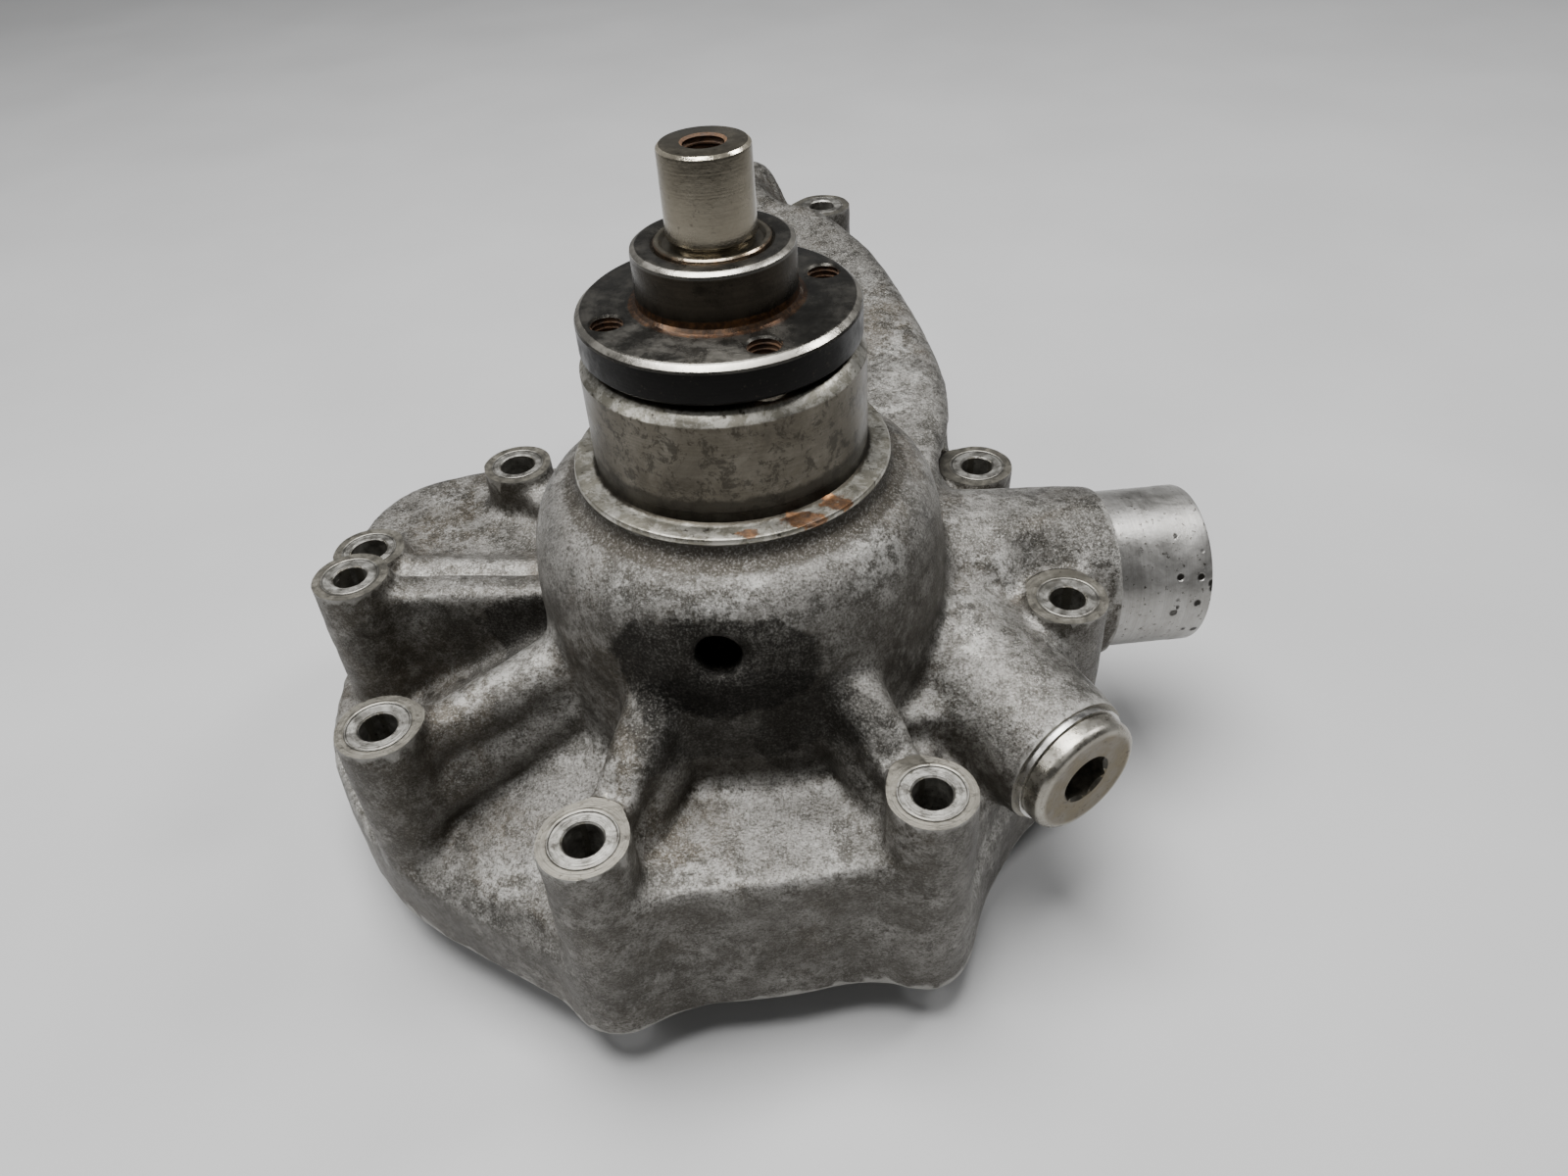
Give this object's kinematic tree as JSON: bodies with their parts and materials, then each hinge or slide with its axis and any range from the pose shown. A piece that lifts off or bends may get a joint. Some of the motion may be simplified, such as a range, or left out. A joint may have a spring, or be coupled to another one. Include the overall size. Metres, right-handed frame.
{
  "type": "engine coolant pump",
  "caption": "Cast engine coolant pump with ribbed cover, hose spigot, duct arm, screw plug, and a pulley hub on a shaft turning in ball bearings behind a face seal.",
  "frame": {"origin": "where the shaft axis meets the rear gasket face", "axes": "+Z along the shaft towards its bare stub end, +X towards the hose spigot, +Y towards the duct arm"},
  "size_m": [0.2503, 0.2959, 0.1921],
  "materials": {
    "cast_aluminium": "weathered sand-cast skin, oil stained, with machined faces",
    "shaft_steel": "ground, lightly worn",
    "hub_steel": "dark oiled steel with bright edge and light rust",
    "impeller_iron": "rusty casting",
    "spacer_steel": "turned",
    "spring_steel": "oiled spring steel",
    "slinger_brass": "dull pressed sheet",
    "seal_brass": "pressed sheet",
    "seal_rubber": "matt black",
    "seal_carbon": "lapped carbon",
    "seal_ceramic": "lapped ceramic",
    "plug_steel": "plated, stained",
    "washer_aluminium": "crushed soft washer",
    "bearing_steel": "ground and polished",
    "cage_steel": "pressed sheet",
    "shield_steel": "pressed sheet"
  },
  "bodies": {
    "housing": {"pump_housing": "cast_aluminium", "outer_spacer": "spacer_steel", "bearing_circlip": "spring_steel", "seal_cup": "seal_brass", "seal_bellows": "seal_rubber", "seal_spring": "spring_steel", "seal_carbon_ring": "seal_carbon", "blanking_plug": "plug_steel", "plug_washer": "washer_aluminium", "front_bearing_outer_ring": "bearing_steel", "front_bearing_front_shield": "shield_steel", "front_bearing_rear_shield": "shield_steel", "rear_bearing_outer_ring": "bearing_steel", "rear_bearing_front_shield": "shield_steel", "rear_bearing_rear_shield": "shield_steel"},
    "rotor": {"pump_shaft": "shaft_steel", "hub_flange": "hub_steel", "impeller": "impeller_iron", "inner_spacer": "spacer_steel", "water_slinger": "slinger_brass", "counter_ring_cup": "seal_rubber", "seal_counter_ring": "seal_ceramic", "front_bearing_inner_ring": "bearing_steel", "rear_bearing_inner_ring": "bearing_steel"},
    "front_ball_set": {"front_bearing_balls": "bearing_steel", "front_bearing_cage": "cage_steel"},
    "rear_ball_set": {"rear_bearing_balls": "bearing_steel", "rear_bearing_cage": "cage_steel"}
  },
  "joints": [
    {"name": "shaft_spin", "type": "hinge", "parent": "housing", "child": "rotor", "pos_m": [0, 0, 0.098], "axis": [0, 0, 1], "continuous": true},
    {"name": "front_cage_spin", "type": "hinge", "parent": "housing", "child": "front_ball_set", "pos_m": [0, 0, 0.123], "axis": [0, 0, 1], "continuous": true},
    {"name": "rear_cage_spin", "type": "hinge", "parent": "housing", "child": "rear_ball_set", "pos_m": [0, 0, 0.0975], "axis": [0, 0, 1], "continuous": true}
  ],
  "couplings": [
    {"joint": "front_cage_spin", "follows": "shaft_spin", "ratio": 0.3969},
    {"joint": "rear_cage_spin", "follows": "shaft_spin", "ratio": 0.3969}
  ]
}
